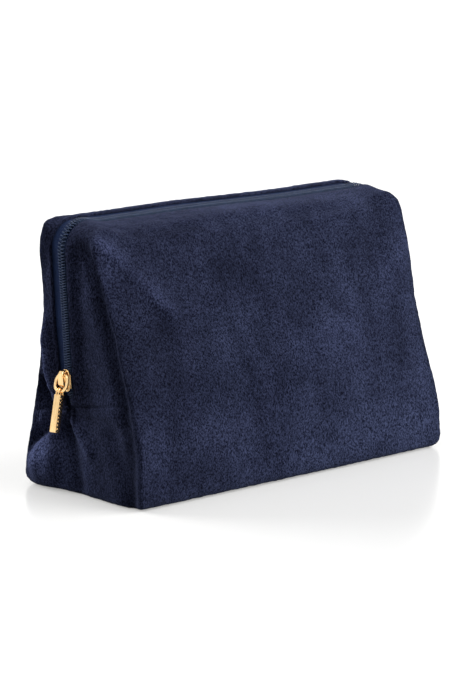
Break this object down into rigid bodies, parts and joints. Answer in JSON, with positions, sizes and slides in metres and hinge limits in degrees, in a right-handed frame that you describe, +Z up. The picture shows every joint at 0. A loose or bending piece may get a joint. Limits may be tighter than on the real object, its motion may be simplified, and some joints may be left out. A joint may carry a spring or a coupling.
{
  "type": "zippered pouch",
  "caption": "Padded velour toiletry pouch on a boxed base, with a coil zip over the top, a slider with ring and bar puller, and a front wall that folds open.",
  "frame": {"origin": "middle of the base, on the surface that the pouch stands on", "axes": "+Z up; +X along the pouch's length, away from the parked slider; -Y is the front wall, +Y the back wall"},
  "size_m": [0.2645, 0.102, 0.1606],
  "materials": {
    "pile_cloth": "short navy cotton pile, matt with a soft nap sheen",
    "foam": "open-cell foam interlining",
    "lining": "plain woven navy lining",
    "zip_tape": "herringbone woven polyester tape",
    "zip_coil": "satin nylon coil",
    "gold_metal": "polished yellow-gold plating",
    "label": "blank satin tape"
  },
  "bodies": {
    "shell": {"back_facing_left": "lining", "back_facing_right": "lining", "back_facing_top": "lining", "back_lining": "lining", "back_padding": "foam", "back_panel": "pile_cloth", "back_wrap_left": "pile_cloth", "back_wrap_right": "pile_cloth", "back_wrap_top": "pile_cloth", "base_lining": "lining", "base_padding": "foam", "base_panel": "pile_cloth", "care_label": "label", "end_lining_left": "lining", "end_lining_right": "lining", "end_padding_left": "foam", "end_padding_right": "foam", "end_panel_left": "pile_cloth", "end_panel_right": "pile_cloth", "front_facing_foot_left": "lining", "front_facing_foot_right": "lining", "front_lining_lower": "lining", "front_padding_lower": "foam", "front_panel_lower": "pile_cloth", "front_wrap_foot_left": "pile_cloth", "front_wrap_foot_right": "pile_cloth", "zip_coil_back": "zip_coil", "zip_coil_foot_left": "zip_coil", "zip_coil_foot_right": "zip_coil", "zip_tape_back": "zip_tape", "zip_tape_foot_left": "zip_tape", "zip_tape_foot_right": "zip_tape"},
    "front_flap": {"front_facing_left": "lining", "front_facing_right": "lining", "front_facing_top": "lining", "front_lining_upper": "lining", "front_padding_upper": "foam", "front_panel_upper": "pile_cloth", "front_wrap_left": "pile_cloth", "front_wrap_right": "pile_cloth", "front_wrap_top": "pile_cloth", "zip_coil_front": "zip_coil", "zip_tape_front": "zip_tape"},
    "slider": {"slider_body": "gold_metal", "slider_bridge": "gold_metal"},
    "ring": {"pull_ring": "gold_metal"},
    "bar": {"pull_bar": "gold_metal"}
  },
  "joints": [
    {"name": "front_wall_open", "type": "hinge", "parent": "shell", "child": "front_flap", "pos_m": [0, -0.03931, 0.0759], "axis": [1, 0, 0], "range_deg": [0, 28]},
    {"name": "zip_run", "type": "slide", "parent": "shell", "child": "slider", "axis": [0, 0.0748, 0.9972], "range_m": [0, 0.066]},
    {"name": "pull_ring_swing", "type": "hinge", "parent": "slider", "child": "ring", "pos_m": [-0.1285, 0.0091, 0.07199], "axis": [0, 0.9972, -0.0748], "range_deg": [0, 144]},
    {"name": "pull_bar_swing", "type": "hinge", "parent": "ring", "child": "bar", "pos_m": [-0.13153, 0.0084, 0.0627], "axis": [0, 0.9972, -0.0748], "range_deg": [-22, 22]}
  ]
}
